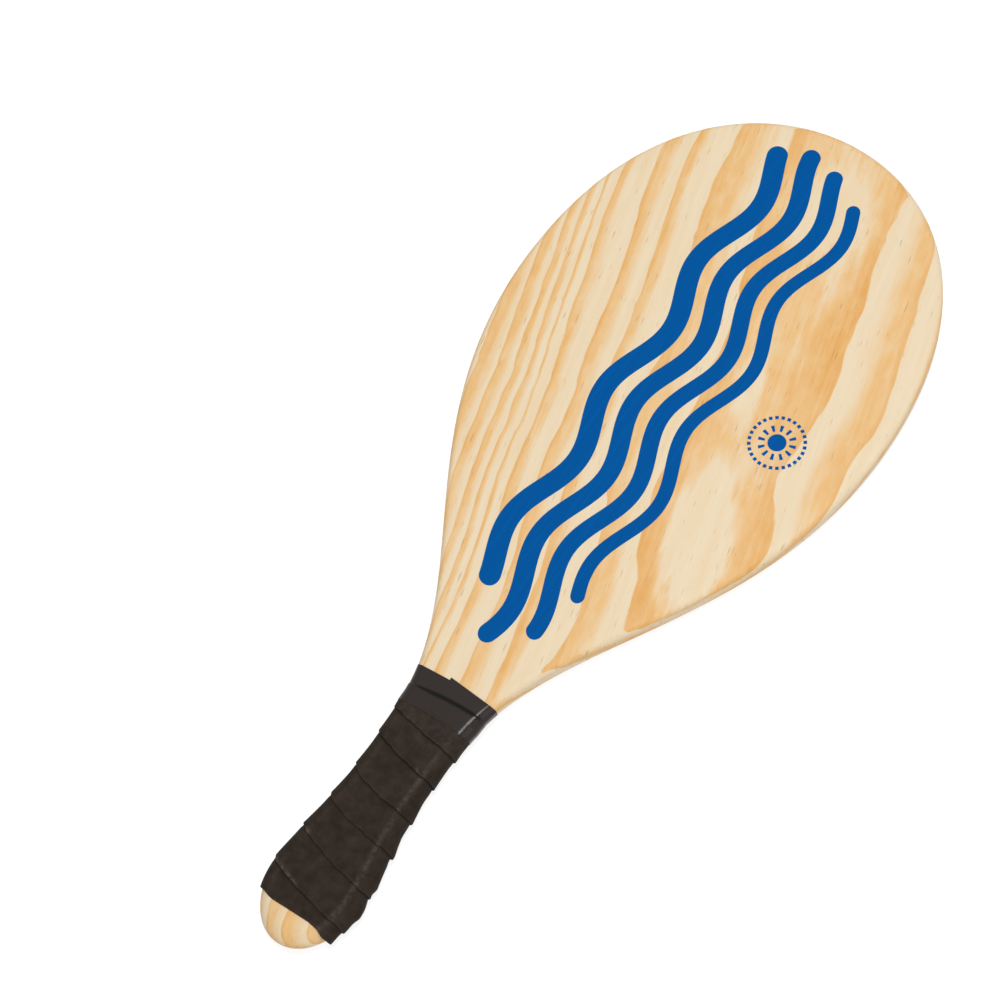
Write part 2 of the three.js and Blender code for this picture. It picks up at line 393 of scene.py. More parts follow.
@dataclass(frozen=True)
class LacqueredPine(Finish):
    """Flat-sawn pine under a clear satin lacquer.

    Slow-grown latewood shows as honey bands on cream earlywood. Each band deepens towards its outer
    edge and ends there at once. The board is cut close under the bark, so the rings run flat
    through its right half, as broad tongues, and steeply through its left half, as close stripes.

    The grain leans by grain_turn, in degrees, about the place grain_middle up the board's middle
    line, and its reach lies along it from there. The pith fields say where the pith lies at
    stations along the grain, ring_edges how far from it each ring ends, and late_shares how much
    of each ring is latewood.
    """

    name: str = "lacquered_pine"
    roughness: float = 0.46
    shine: float = 0.2
    earlywood: str = "#F0DDBC"
    latewood: str = "#EFC387"
    heart: str = "#E7AB5D"
    resin: str = "#B98548"
    grain_turn: float = 14.0
    grain_middle: float = 300.0
    grain_reach: tuple[float, float] = (-300.0, 150.0)
    pith_stations: Reals = (-300, -170, -110, -62, -28, 18, 60, 92, 112, 132, 150)
    pith_across: Reals = (38, 40, 42, 39.5, 37, 43, 41.8, 40.3, 40.6, 42.6, 43)
    pith_above: Reals = (
        121, 121.5, 121.4, 120.3, 121.2, 120.6, 120.6, 120.1, 119.9, 119.8, 119.8)
    sways: tuple[tuple[Reals, float, float], ...] = (
        ((14, 50, 20), 2.0, 1.0), ((6, 24, 9), 1.0, 0.6))
    ring_edges: Reals = (
        114.0, 123.8, 131.2, 139.2, 146.4, 153.6, 157.3, 161.3, 165.3, 171.0, 178.0, 184.4, 192.0)
    late_shares: Reals = (0.5, 0.64, 0.36, 0.55, 0.42, 0.3, 0.5, 0.6, 0.72, 0.8, 0.8, 0.62)

    def look(self, tree: Tree, place: Socket) -> dict[str, Any]:
        """The wood's colour, and a satin film that lets a little of the grain's relief through.

        Args:
            tree: The material's tree.
            place: Object coordinates.
        Returns:
            The shader's inputs for colour and relief.
        """
        turn = np.radians(self.grain_turn)
        away = self.grain_middle + BUTT_Y
        grain = add_node(tree, "Mapping", {"vector_type": "POINT"}, {
            "Vector": place,
            "Location": (-away * np.sin(turn), -away * np.cos(turn),
                         -BOARD_MIDDLE - BOARD_THICKNESS / 2),
            "Rotation": (0, 0, -turn),
            "Scale": (1 / MM, 1 / MM, 1 / MM)}).outputs[0]
        streak = self.streaks(tree, grain, (2.4, 60, 2.4), 3.0)
        rings = self.ring_number(tree, grain)
        late, edge = self.bands(tree, rings, streak, self.depth(tree, grain, streak))
        faint = add_node(tree, "MapRange", {}, {
            "Value": self.streaks(tree, grain, (5, 70, 9), 2.0),
            "From Min": 0.42, "From Max": 0.75, "To Max": 0.3}).outputs[0]
        late = add_node(tree, "Math", {"operation": "MAXIMUM"}, {0: late, 1: faint}).outputs[0]
        relief = add_node(tree, "Bump", {}, {"Height": late, "Strength": 0.05, "Distance": 0.0002})
        return {"Base Color": self.colour(tree, grain, late, edge), "Normal": relief.outputs[0]}

    @staticmethod
    def streaks(tree: Tree, grain: Socket, sizes: Reals, detail: float) -> Socket:
        """Noise drawn out along the grain.

        Args:
            tree: The material's tree.
            grain: Across the grain, along it and through the depth, in millimetres.
            sizes: The noise's grain in those three directions, in millimetres.
            detail: How many finer layers it has.
        Returns:
            The noise, about a half on average.
        """
        drawn = add_node(tree, "Mapping", {"vector_type": "POINT"},
                         {"Vector": grain, "Scale": tuple(1 / size for size in sizes)})
        return add_node(tree, "TexNoise", {"noise_dimensions": "3D"}, {
            "Vector": drawn.outputs[0], "Scale": 1.0, "Detail": detail,
            "Roughness": 0.55}).outputs[0]

    @staticmethod
    def oval(tree: Tree, place: Socket, swelling: Swelling) -> Socket:
        """A swelling's strength: full in its middle, falling smoothly to nothing at its rim.

        Args:
            tree: The material's tree.
            place: Across the grain, along it and through the depth, in millimetres.
            swelling: The oval.
        Returns:
            The strength at each point.
        """
        inside = add_node(tree, "Mapping", {"vector_type": "TEXTURE"}, {
            "Vector": place, "Location": (swelling.across, swelling.along, 0),
            "Rotation": (0, 0, np.radians(swelling.turn)),
            "Scale": (swelling.half_across, swelling.half_along, swelling.half_through)})
        bulge = add_node(tree, "TexGradient", {"gradient_type": "SPHERICAL"},
                         {"Vector": inside.outputs[0]}).outputs["Fac"]
        return add_node(tree, "MapRange", {"interpolation_type": "SMOOTHSTEP"},
                        {"Value": bulge, "From Max": 0.65, "To Max": swelling.strength}).outputs[0]

    def ring_number(self, tree: Tree, grain: Socket) -> Socket:
        """How many growth rings lie between the pith and each point.

        The pith wanders across the grain and up and down along the stem. The distance from it is
        the length of the way across the grain and through the depth. Two sways are added, a slow
        one and a quick one: noise of a given grain and detail, which moves the rings by up to its
        reach either way. On the left half come two pulls, each its strength along the grain times
        how far it has grown across it, and last the swellings. A curve through the rings' edges
        turns that distance into a count.

        Args:
            tree: The material's tree.
            grain: Across the grain, along it and through the depth, in millimetres.
        Returns:
            The count over the number of rings in the curve.
        """
        across, along, _ = add_node(tree, "SeparateXYZ", {}, {0: grain}).outputs
        start, end = self.grain_reach
        station = add_node(tree, "MapRange", {},
                           {"Value": along, "From Min": start, "From Max": end}).outputs[0]
        pith = add_node(tree, "CombineXYZ", {}, {
            "X": self.wander(tree, station, self.pith_stations, self.pith_across),
            "Z": self.wander(tree, station, self.pith_stations, self.pith_above)}).outputs[0]
        flat = add_node(tree, "VectorMath", {"operation": "MULTIPLY"},
                        {0: grain, 1: (1, 0, 1)}).outputs[0]
        total = add_node(tree, "VectorMath", {"operation": "DISTANCE"},
                         {0: flat, 1: pith}).outputs["Value"]
        for sizes, detail, reach in self.sways:
            sway = add_node(tree, "MapRange", {}, {
                "Value": self.streaks(tree, grain, sizes, detail),
                "To Min": -reach, "To Max": reach}).outputs[0]
            total = add_node(tree, "Math", {"operation": "ADD"}, {0: total, 1: sway}).outputs[0]
        for pull in LEFT_PULLS:
            grown = add_node(tree, "MapRange", {"interpolation_type": "SMOOTHSTEP"}, {
                "Value": across, "From Min": pull.starts, "From Max": pull.ends}).outputs[0]
            strength = self.wander(tree, station, pull.stations, pull.strengths)
            total = add_node(tree, "Math", {"operation": "MULTIPLY_ADD"},
                             {0: strength, 1: grown, 2: total}).outputs[0]
        for swelling in RING_SWELLINGS:
            total = add_node(tree, "Math", {"operation": "ADD"},
                             {0: total, 1: self.oval(tree, grain, swelling)}).outputs[0]
        first, last = self.ring_edges[0], self.ring_edges[-1]
        share = add_node(tree, "MapRange", {},
                         {"Value": total, "From Min": first, "From Max": last}).outputs[0]
        places = (np.array(self.ring_edges) - first) / (last - first)
        return self.curve(tree, share, places, np.linspace(0, 1, len(places)), "VECTOR")

    def wander(self, tree: Tree, station: Socket, stations: Reals, places: Reals) -> Socket:
        """A smooth curve along the grain.

        Args:
            tree: The material's tree.
            station: How far along the grain's reach each point lies, from 0 to 1.
            stations: Where the curve's points lie along the grain, in millimetres.
            places: The curve's height at each.
        Returns:
            The curve's height.
        """
        start, end = self.grain_reach
        low, high = min(places) - 1, max(places) + 1
        share = self.curve(tree, station, (np.array(stations) - start) / (end - start),
                           (np.array(places) - low) / (high - low), "AUTO")
        return add_node(tree, "MapRange", {},
                        {"Value": share, "To Min": low, "To Max": high}).outputs[0]

    @staticmethod
    def curve(tree: Tree, value: Socket, places: np.ndarray, heights: np.ndarray,
              handles: str) -> Socket:
        """A value read through a curve between given points.

        Args:
            tree: The material's tree.
            value: What is read, from 0 to 1.
            places: Where the points lie, from 0 to 1.
            heights: The curve's height at each.
            handles: VECTOR for straight lines between them, AUTO for a smooth curve.
        Returns:
            The curve's height at the value.
        """
        node = add_node(tree, "FloatCurve", {}, {"Value": value})
        points = node.mapping.curves[0].points
        for place, height in zip(places[1:-1], heights[1:-1]):
            points.new(float(place), float(height))
        points[0].location = (float(places[0]), float(heights[0]))
        points[-1].location = (float(places[-1]), float(heights[-1]))
        for point in points:
            point.handle_type = handles
        node.mapping.update()
        return node.outputs[0]

    def depth(self, tree: Tree, grain: Socket, streak: Socket) -> Socket:
        """How deep the latewood's colour is at each point, as a share of its usual depth.

        It is 1, changed by the streaks and a broader mottle, and the ovals' strengths are added,
        read at a place that noise drags about.

        Args:
            tree: The material's tree.
            grain: Across the grain, along it and through the depth, in millimetres.
            streak: Noise drawn out along the grain.
        Returns:
            The depth, from 0 to 2.
        """
        drawn = add_node(tree, "Mapping", {"vector_type": "POINT"},
                         {"Vector": grain, "Scale": (1 / 16, 1 / 60, 1 / 30)})
        drag = add_node(tree, "TexNoise", {"noise_dimensions": "3D"}, {
            "Vector": drawn.outputs[0], "Scale": 1.0, "Detail": 4.0,
            "Roughness": 0.6}).outputs["Color"]
        centred = add_node(tree, "VectorMath", {"operation": "SUBTRACT"},
                           {0: drag, 1: (0.5, 0.5, 0.5)}).outputs[0]
        place = add_node(tree, "VectorMath", {"operation": "MULTIPLY_ADD"},
                         {0: centred, 1: (16, 50, 0), 2: grain}).outputs[0]
        total = add_node(tree, "MapRange", {"clamp": False}, {
            "Value": streak, "From Min": 0.3, "From Max": 0.7,
            "To Min": 0.87, "To Max": 1.13}).outputs[0]
        mottle = add_node(tree, "MapRange", {}, {
            "Value": self.streaks(tree, grain, (5, 12, 8), 4.0),
            "From Min": 0.3, "From Max": 0.7, "To Min": -0.3, "To Max": 0.3}).outputs[0]
        parts = [mottle, *(self.oval(tree, place, swelling) for swelling in DEPTHS_OF_COLOUR)]
        for part in parts:
            total = add_node(tree, "Math", {"operation": "ADD"}, {0: total, 1: part}).outputs[0]
        return add_node(tree, "Clamp", {}, {"Value": total, "Max": 2.0}).outputs[0]

    def bands(self, tree: Tree, rings: Socket, streak: Socket,
              depth: Socket) -> tuple[Socket, Socket]:
        """How deep the latewood is at each point, and how near the point is to a band's dark edge.

        A ring's phase runs from 0 at its inner side to 1 at its outer. Latewood rises over the last
        of it, a share that each ring has of its own, and stops at once at 1.

        Args:
            tree: The material's tree.
            rings: The count of rings, over their number.
            streak: Noise drawn out along the grain, which frays each band's inner side.
            depth: The share of its usual depth that the colour has.
        Returns:
            The latewood, from 0 to 2, and the edge, from 0 to 1.
        """
        many = len(self.late_shares)
        count = add_node(tree, "Math", {"operation": "MULTIPLY"},
                         {0: rings, 1: float(many)}).outputs[0]
        phase = add_node(tree, "Math", {"operation": "FRACT"}, {0: count}).outputs[0]
        whole = add_node(tree, "Math", {"operation": "FLOOR"}, {0: count}).outputs[0]
        centre = add_node(tree, "Math", {"operation": "DIVIDE"},
                          {0: whole, 1: float(many - 1)}).outputs[0]
        share = self.curve(tree, centre, np.linspace(0, 1, many), np.array(self.late_shares),
                           "VECTOR")
        frayed = add_node(tree, "MapRange", {},
                          {"Value": streak, "To Min": -0.16, "To Max": 0.16}).outputs[0]
        moved = add_node(tree, "Math", {"operation": "ADD"}, {0: phase, 1: frayed}).outputs[0]
        start, full = (
            add_node(tree, "Math", {"operation": "MULTIPLY_ADD"},
                     {0: share, 1: -times, 2: 1.0}).outputs[0] for times in (1.35, 0.45))
        late = add_node(tree, "MapRange", {"interpolation_type": "SMOOTHSTEP"},
                        {"Value": moved, "From Min": start, "From Max": full}).outputs[0]
        stop = add_node(tree, "MapRange", {"interpolation_type": "SMOOTHSTEP"}, {
            "Value": phase, "From Min": 0.975, "From Max": 1.0,
            "To Min": 1.0, "To Max": 0.0}).outputs[0]
        edge = add_node(tree, "MapRange", {"interpolation_type": "SMOOTHSTEP"},
                        {"Value": moved, "From Min": 0.78, "From Max": 1.0}).outputs[0]
        late, edge = (
            add_node(tree, "Math", {"operation": "MULTIPLY"}, {0: value, 1: stop}).outputs[0]
            for value in (late, edge))
        late = add_node(tree, "Math", {"operation": "MULTIPLY"}, {0: late, 1: depth}).outputs[0]
        return late, edge

    def colour(self, tree: Tree, grain: Socket, late: Socket, edge: Socket) -> Socket:
        """The wood's colour: earlywood to latewood to its heart, with resin canals and fibres.

        Args:
            tree: The material's tree.
            grain: Across the grain, along it and through the depth, in millimetres.
            late: The latewood, from 0 to 2: past 1 it deepens to the heart colour.
            edge: How near the point is to a band's dark edge, from 0 to 1.
        Returns:
            The colour.
        """
        deep = add_node(tree, "Math", {"operation": "SUBTRACT", "use_clamp": True},
                        {0: late, 1: 1.0}).outputs[0]
        deep = add_node(tree, "Math", {"operation": "MULTIPLY_ADD", "use_clamp": True},
                        {0: edge, 1: 0.5, 2: deep}).outputs[0]
        # Resin canals are 0.1 mm wide. They are drawn 0.4 mm wide and 5 mm long, where they run
        # close together.
        canals = add_node(tree, "MapRange", {}, {
            "Value": self.streaks(tree, grain, (0.8, 8, 3), 0.0),
            "From Min": 0.74, "From Max": 0.84, "To Max": 0.5}).outputs[0]
        wood = layered(tree, self.earlywood, [
            (late, self.latewood), (deep, self.heart), (canals, self.resin)])
        # Fibres are 0.03 mm wide, which no render shows. They are drawn 0.5 mm wide and 30 mm long.
        shade = add_node(tree, "MapRange", {}, {
            "Value": self.streaks(tree, grain, (0.5, 30, 0.5), 3.0),
            "From Min": 0.25, "From Max": 0.75, "To Min": 0.965, "To Max": 1.03}).outputs[0]
        return add_node(tree, "VectorMath", {"operation": "SCALE"},
                        {0: wood, "Scale": shade}).outputs[0]


@dataclass(frozen=True)
class GrainedRubber(Finish):
    """Grip tape of foamed rubber with a fine grain: matte, almost black, and browner where hands
    rub it. Along the corners and the turns' lower edges that lighter colour is partly a painted
    highlight, and just below each turn's edge lies painted shade, nearly black."""

    name: str = "grained_rubber_tape"
    roughness: float = 0.82
    shine: float = 0.12
    plain: str = "#281F18"
    dusty: str = "#382F27"
    # The third colour is wear and, along the corners and lower edges, painted highlight. The last
    # is painted shade just below each turn's edge.
    lit_and_worn: str = "#534A43"
    painted_shade: str = "#0E0A08"

    def look(self, tree: Tree, place: Socket) -> dict[str, Any]:
        """The tape's colour with dust, wear, painted highlight and painted shade, and its fine
        grain.

        Args:
            tree: The material's tree.
            place: Object coordinates.
        Returns:
            The shader's inputs for colour and relief.
        """
        # Dust lies in blotches of 6 mm, and the wear with its painted highlight is broken up into
        # spots of 2.4 mm.
        blotch = add_node(tree, "TexNoise", {}, {
            "Vector": place, "Scale": 160.0, "Detail": 4.0, "Roughness": 0.65}).outputs[0]
        dust = add_node(tree, "MapRange", {},
                        {"Value": blotch, "From Min": 0.35, "From Max": 0.7}).outputs[0]
        scuff = add_node(tree, "TexNoise", {}, {
            "Vector": place, "Scale": 420.0, "Detail": 3.0, "Roughness": 0.7}).outputs[0]
        patchy = add_node(tree, "MapRange", {}, {
            "Value": scuff, "From Min": 0.38, "From Max": 0.62,
            "To Min": 0.15, "To Max": 1.0}).outputs[0]
        # One attribute holds wear with painted highlight, the other painted shade below the turns'
        # edges.
        wear_and_sheen, painted_shade = (add_node(tree, "Attribute", {"attribute_name": name}).outputs["Fac"]
                       for name in ("wear_and_sheen", "painted_shade"))
        lit_and_worn = add_node(tree, "Math", {"operation": "MULTIPLY"}, {0: wear_and_sheen, 1: patchy}).outputs[0]
        colour = layered(tree, self.plain, [
            (dust, self.dusty), (lit_and_worn, self.lit_and_worn), (painted_shade, self.painted_shade)])
        # The rubber's grain is about 0.2 mm. It is drawn 0.45 mm wide, which a render still shows.
        grain = add_node(tree, "TexNoise", {},
                         {"Vector": place, "Scale": 2200.0, "Detail": 2.0}).outputs[0]
        relief = add_node(tree, "Bump", {}, {"Height": grain, "Strength": 0.35, "Distance": 0.0002})
        return {"Base Color": colour, "Normal": relief.outputs[0]}


@dataclass(frozen=True)
class GlossVinyl(Finish):
    """Electrician's tape of plasticised vinyl: smooth and glossy, dark grey, stretched as it was
    wound, with painted shade, nearly black, in the hollow above the grip's cut end."""

    name: str = "gloss_vinyl_tape"
    roughness: float = 0.17
    shine: float = 0.16
    plain: str = "#302925"
    # The hollow's colour is painted shade.
    hollow_shade: str = "#040303"

    def look(self, tree: Tree, place: Socket) -> dict[str, Any]:
        """The tape's colour with painted shade in its hollow, and the faint ripple of stretched
        tape.

        Args:
            tree: The material's tree.
            place: Object coordinates.
        Returns:
            The shader's inputs for colour and relief.
        """
        # The ripples are 25 mm long, drawn out round the handle, and 4 mm apart up it.
        drawn = add_node(tree, "Mapping", {}, {"Vector": place, "Scale": (40, 260, 40)}).outputs[0]
        ripple = add_node(tree, "TexNoise", {},
                          {"Vector": drawn, "Scale": 1.0, "Detail": 1.0}).outputs[0]
        relief = add_node(tree, "Bump", {},
                          {"Height": ripple, "Strength": 0.08, "Distance": 0.0003})
        # The attribute carries painted shade in the hollow.
        painted_shade = add_node(tree, "Attribute", {"attribute_name": "painted_shade"}).outputs["Fac"]
        return {"Base Color": layered(tree, self.plain, [(painted_shade, self.hollow_shade)]),
                "Normal": relief.outputs[0]}


@dataclass(frozen=True)
class ScreenInk(Finish):
    """Blue screen ink: opaque, matt and even, a little thinner in streaks where the wood's fibres
    stand up."""

    name: str = "blue_screen_ink"
    roughness: float = 0.6
    shine: float = 0.03
    full: str = "#00569F"
    thin: str = "#005CA7"
    lean: float = -0.24

    def look(self, tree: Tree, place: Socket) -> dict[str, Any]:
        """The ink's colour, thinner in streaks that lean with the grain.

        Args:
            tree: The material's tree.
            place: Object coordinates.
        Returns:
            The shader's input for colour.
        """
        # The streaks are about 1 mm wide and 33 mm long.
        along = add_node(tree, "Mapping", {}, {
            "Vector": place, "Rotation": (0, 0, self.lean), "Scale": (900, 30, 900)}).outputs[0]
        fibre = add_node(tree, "TexNoise", {},
                         {"Vector": along, "Scale": 1.0, "Detail": 3.0}).outputs[0]
        amount = add_node(tree, "MapRange", {},
                          {"Value": fibre, "From Min": 0.45, "From Max": 0.8}).outputs[0]
        return {"Base Color": layered(tree, self.full, [(amount, self.thin)])}


@dataclass(frozen=True)
class Outline:
    """The board's outline: half widths, and the heights where they lie, up from the butt.

    Each stretch between two of them is a Bezier curve. The fields with below and above give its
    handles' lengths as shares of the stretch's height, neck_lean how far the neck's handles lean
    out, and head_share where the last handle lies, as a share of the blade's half width.
    """

    half_blade: float = 97.5
    blade_y: float = 325.0
    half_neck: float = 22.0
    neck_y: float = 135.0
    half_waist: float = 15.8
    waist_y: float = 84.0
    half_butt: float = 20.6
    butt_y: float = 26.5
    butt_above: float = 0.3
    waist_below: float = 0.4
    waist_above: float = 0.47
    neck_below: float = 0.29
    neck_above: float = 0.27
    neck_lean: float = 0.3
    blade_below: float = 0.47
    blade_above: float = 0.7
    head_share: float = 0.48
    steps: tuple[int, ...] = (60, 40, 36, 120, 140)

    def right_half(self) -> np.ndarray:
        """The right half, from the middle of the butt to the middle of the head.

        Returns:
            The points of a quarter ellipse, x = a sin t and y = b - b cos t, and of four Bezier
            curves.
        """
        t = np.linspace(0, np.pi / 2, self.steps[0] + 1)
        end = np.column_stack([self.half_butt * np.sin(t), self.butt_y * (1 - np.cos(t))])
        grip = self.waist_y - self.butt_y
        neck = self.neck_y - self.waist_y
        shoulder = self.blade_y - self.neck_y
        head = BOARD_LENGTH - self.blade_y
        foot, reach = self.neck_below * neck, self.neck_above * shoulder
        at_butt, at_waist = (self.half_butt, self.butt_y), (self.half_waist, self.waist_y)
        at_neck, at_blade = (self.half_neck, self.neck_y), (self.half_blade, self.blade_y)
        return np.vstack([
            end,
            bezier(at_butt, (self.half_butt, self.butt_y + self.butt_above * grip),
                   (self.half_waist, self.waist_y - self.waist_below * grip), at_waist,
                   self.steps[1]),
            bezier(at_waist, (self.half_waist, self.waist_y + self.waist_above * neck),
                   (self.half_neck - self.neck_lean * foot, self.neck_y - foot), at_neck,
                   self.steps[2]),
            bezier(at_neck, (self.half_neck + self.neck_lean * reach, self.neck_y + reach),
                   (self.half_blade, self.blade_y - self.blade_below * shoulder), at_blade,
                   self.steps[3]),
            bezier(at_blade, (self.half_blade, self.blade_y + self.blade_above * head),
                   (self.head_share * self.half_blade, BOARD_LENGTH), (0, BOARD_LENGTH),
                   self.steps[4]),
        ])


@dataclass
class BladeBoard:
    """The board: blade, neck and handle core, cut from one pine plank and rounded at its edges."""

    outline: Outline = field(default_factory=Outline)
    finish: LacqueredPine = field(default_factory=LacqueredPine)
    dome_inset: float = 9.0
    dome_reach: float = 16.0
    dome_rim: float = 0.8
    round_steps: int = 12
    face_columns: int = 24

    def rings(self) -> np.ndarray:
        """Rings round the board, from the front face over the edge to the back face.

        At an angle a up the rounding, a point is drawn in from the outline by r(1 - cos a) and
        stands r sin a above the foot of the rounding. The rounding's reach grows into the blunt
        dome towards the butt.

        Returns:
            The rings by the points round each by three.
        """
        right = self.outline.right_half()
        loop = np.vstack([right, right[-2:0:-1] * [-1, 1]])
        loop[:, 0] += np.sign(loop[:, 0]) * fullness(loop[:, 1])
        along = np.roll(loop, -1, axis=0) - np.roll(loop, 1, axis=0)
        along /= np.linalg.norm(along, axis=1, keepdims=True)
        outward = np.column_stack([along[:, 1], -along[:, 0]])
        blade = smoothstep(0, self.dome_reach, loop[:, 1])
        half = BOARD_THICKNESS / 2
        radius = edge_radius(loop[:, 1])
        inset = self.dome_inset + (radius - self.dome_inset) * blade
        drop = half - self.dome_rim / 2 + (radius - half + self.dome_rim / 2) * blade
        quarter = np.linspace(0, np.pi / 2, self.round_steps + 1)
        angles = np.concatenate([quarter[::-1], quarter])
        sides = np.concatenate([np.ones_like(quarter), -np.ones_like(quarter)])
        drawn_in = inset[None] * (1 - np.cos(angles))[:, None]
        place = loop[None] - outward[None] * drawn_in[..., None]
        height = sides[:, None] * (half - drop[None] + drop[None] * np.sin(angles)[:, None])
        rings = np.dstack([place, height[..., None]])
        return np.concatenate([rings, rings[:, :1]], axis=1)

    def face(self, ring: np.ndarray) -> np.ndarray:
        """A flat face inside a ring.

        Args:
            ring: The points round it.
        Returns:
            Rows straight across, each from the ring's right half to its left.
        """
        steps = len(self.outline.right_half())
        right, left = ring[:steps], ring[::-1][:steps]
        share = np.linspace(0, 1, self.face_columns + 1)[None, :, None]
        return right[:, None] * (1 - share) + left[:, None] * share

    def build(self) -> bpy.types.Object:
        """Makes the board, in place of its CAD node.

        Returns:
            The board.
        """
        rings = self.rings()
        patches = [rings, self.face(rings[0]), self.face(rings[-1])[:, ::-1]]
        board = make_piece("pine_racket_board", patches, self.finish.material())
        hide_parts("blade_board")
        return board


@dataclass
class Handle:
    """The handle's section as tape finds it: a rectangle rounded at its corners, as wide as the
    outline. Its laps say how far round, in laps, each corner and each flat ends."""

    outline: Outline = field(default_factory=Outline)
    # Where the faces turn into corners the tape is lighter: wear and a painted highlight, most on
    # the right.
    rub_and_sheen_reach: float = 0.013
    rub_and_sheen_shares: Reals = (0.75, 0.2, 0.2, 0.55)
    laps: np.ndarray = field(init=False)
    left_side: float = field(init=False)
    front_start: float = field(init=False)
    front_end: float = field(init=False)

    def __post_init__(self) -> None:
        """Adds up the lengths of the corners, the two faces and the two sides at the waist."""
        corner = np.pi / 2 * HAND_RADIUS
        front = 2 * (self.outline.half_waist - HAND_RADIUS)
        side = BOARD_THICKNESS - 2 * HAND_RADIUS
        lengths = np.cumsum([0, *(corner, front, corner, side) * 2])
        self.laps = lengths / lengths[-1]
        self.front_start, self.front_end = self.laps[1], self.laps[2]
        self.left_side = (self.laps[3] + self.laps[4]) / 2

    def points(self, lap: np.ndarray, y: np.ndarray, offset: np.ndarray) -> np.ndarray:
        """Points over the handle.

        The centre of the rounding slides along the flats and stands still at the corners, where the
        way out turns instead. A point lies the edge's radius and the offset out from that centre.

        Args:
            lap: How far round, in laps: 0 is the right side's top, and it rises over the front.
            y: Height above the butt.
            offset: Distance off the wood.
        Returns:
            The points, with the three coordinates last.
        """
        around = np.mod(lap, 1)
        quarters = np.array([0, 1, 1, 2, 2, 3, 3, 4, 4])
        angle = np.interp(around, self.laps, quarters * np.pi / 2)
        across = np.interp(around, self.laps, [1, 1, -1, -1, -1, -1, 1, 1, 1])
        through = np.interp(around, self.laps, [1, 1, 1, 1, -1, -1, -1, -1, 1])
        right = self.outline.right_half()
        half = np.interp(y, right[:, 1], right[:, 0]) + fullness(y)
        radius = edge_radius(y)
        reach = radius + offset
        return np.stack([
            across * (half - radius) + reach * np.cos(angle), y,
            through * (BOARD_THICKNESS / 2 - radius) + reach * np.sin(angle)], axis=-1)

    def rub_and_sheen(self, lap: np.ndarray) -> np.ndarray:
        """How much wear and painted highlight the tape gets at each place round the handle: a palm
        rubs it where a face turns into a corner, and the rounding there catches light.

        Args:
            lap: How far round, in laps.
        Returns:
            exp(-(d / w)^2), d being the laps from a place where a face turns into a corner and w
            the reach of the wear and highlight, times that corner's share, added up over the four.
        """
        away = np.mod(lap, 1)[:, None] - self.laps[[1, 2, 5, 6]]
        return np.exp(-((away / self.rub_and_sheen_reach) ** 2)) @ np.array(self.rub_and_sheen_shares)


def ribbon_patches(handle: Handle, lap: np.ndarray, y: np.ndarray, offset: np.ndarray,
                   thickness: np.ndarray, rounding: float) -> list[np.ndarray]:
    """A ribbon wound on the handle, as one closed skin.

    Its over face is the under face moved out by the thickness, less a quarter round along both
    edges: at a distance d in from the edge it is lower by r - sqrt(r^2 - (r - d)^2), and by no more
    than 0.7 of the thickness.

    Args:
        handle: What it is wound on.
        lap: How far round each row lies.
        y: The height of each row's columns, from the lower edge to the upper.
        offset: The under face's distance off the wood, for each row's columns.
        thickness: The ribbon's thickness there.
        rounding: The radius of its edges.
    Returns:
        The skin, whose rows run round it, and the two cut ends.
    """
    most_lowered = 0.7
    laps = np.broadcast_to(lap[:, None], y.shape)
    inward = np.minimum(y - y[:, :1], y[:, -1:] - y)
    short = np.clip(rounding - inward, 0, rounding)
    lowered = np.minimum(rounding - np.sqrt(rounding**2 - short**2), most_lowered * thickness)
    under = handle.points(laps, y, offset)
    over = handle.points(laps, y, offset + thickness - lowered)
    skin = np.concatenate([under, over[:, ::-1], under[:, :1]], axis=1)
    return [skin, np.stack([over[0], under[0]], axis=0), np.stack([under[-1], over[-1]], axis=0)]


def on_skin(values: np.ndarray) -> list[np.ndarray]:
    """Values for a ribbon's rows and columns, laid out as ribbon_patches lays out its points."""
    return [np.concatenate([values, values[:, ::-1], values[:, :1]], axis=1),
            np.stack([values[0]] * 2), np.stack([values[-1]] * 2)]


